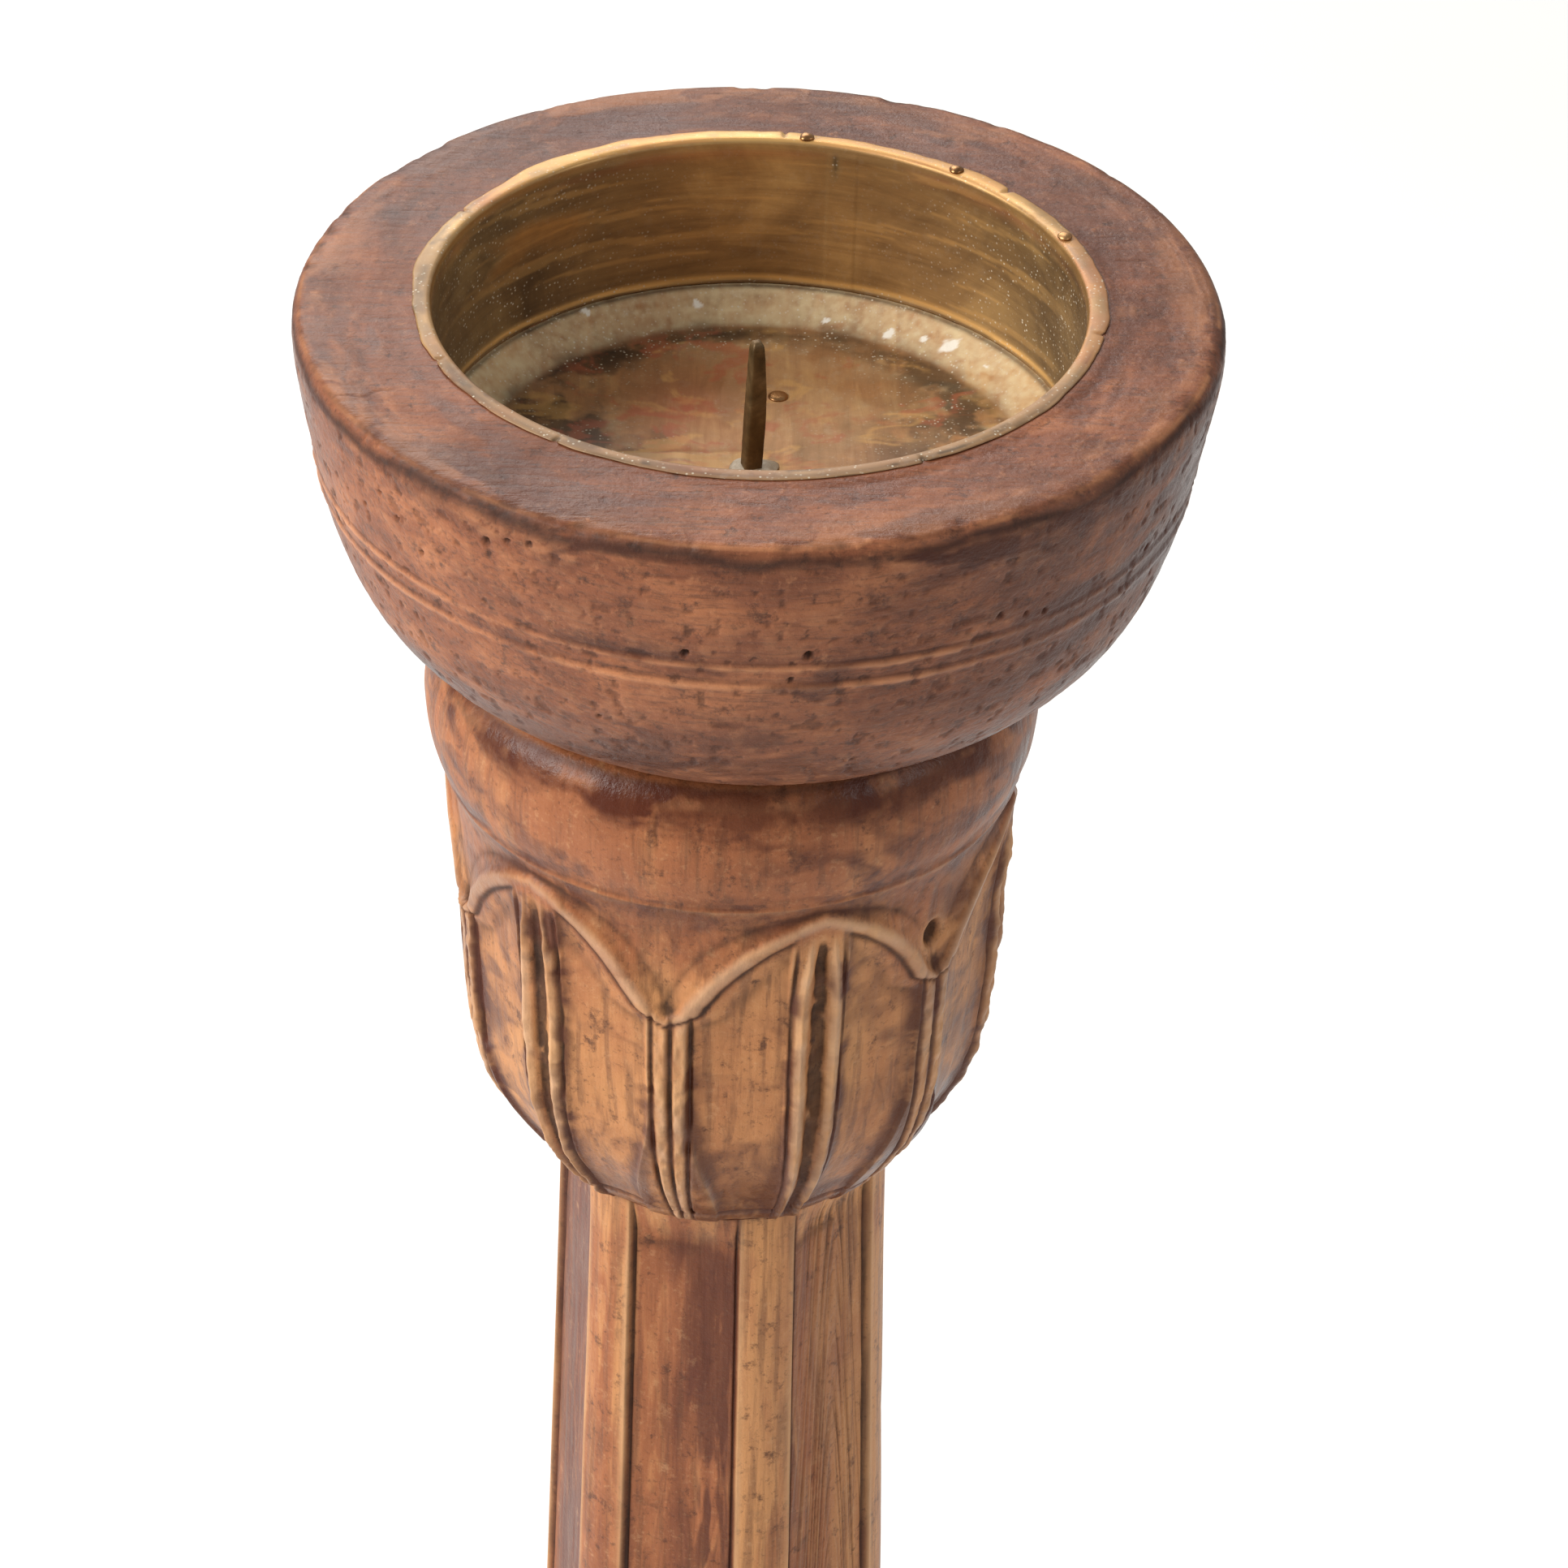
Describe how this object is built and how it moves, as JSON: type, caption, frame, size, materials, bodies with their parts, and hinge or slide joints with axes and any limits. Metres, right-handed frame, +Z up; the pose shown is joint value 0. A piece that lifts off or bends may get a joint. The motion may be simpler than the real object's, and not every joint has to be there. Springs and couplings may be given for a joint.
{
  "type": "candlestick",
  "caption": "Turned and carved wooden pricket candlestick: brass-lined cup with an iron spike on a lotus capital and fluted shaft, standing on a round plinth",
  "frame": {"origin": "centre of the underside of the plinth, on the axis of the fluted shaft", "axes": "+Z up along the shaft; -Y is the front of the piece as pictured; +X to the right of it"},
  "size_m": [0.18, 0.18, 0.6013],
  "materials": {
    "cup_wood": "worn waxed",
    "liner_brass": "tarnished",
    "floor_brass": "dull, dusty",
    "tack_brass": "tarnished",
    "spike_iron": "dark patina",
    "solder": "dull grey",
    "shaft_wood": "worn waxed",
    "base_wood": "worn waxed",
    "screw_steel": "plain"
  },
  "bodies": {
    "root": {"cup": "cup_wood", "cup_liner": "liner_brass", "liner_floor": "floor_brass", "liner_tacks": "tack_brass", "floor_nail": "tack_brass", "pricket": "spike_iron", "pricket_solder": "solder", "shaft": "shaft_wood", "base_moulding": "base_wood", "base_plinth": "base_wood", "base_screw": "screw_steel", "base_washer": "screw_steel"}
  },
  "joints": []
}
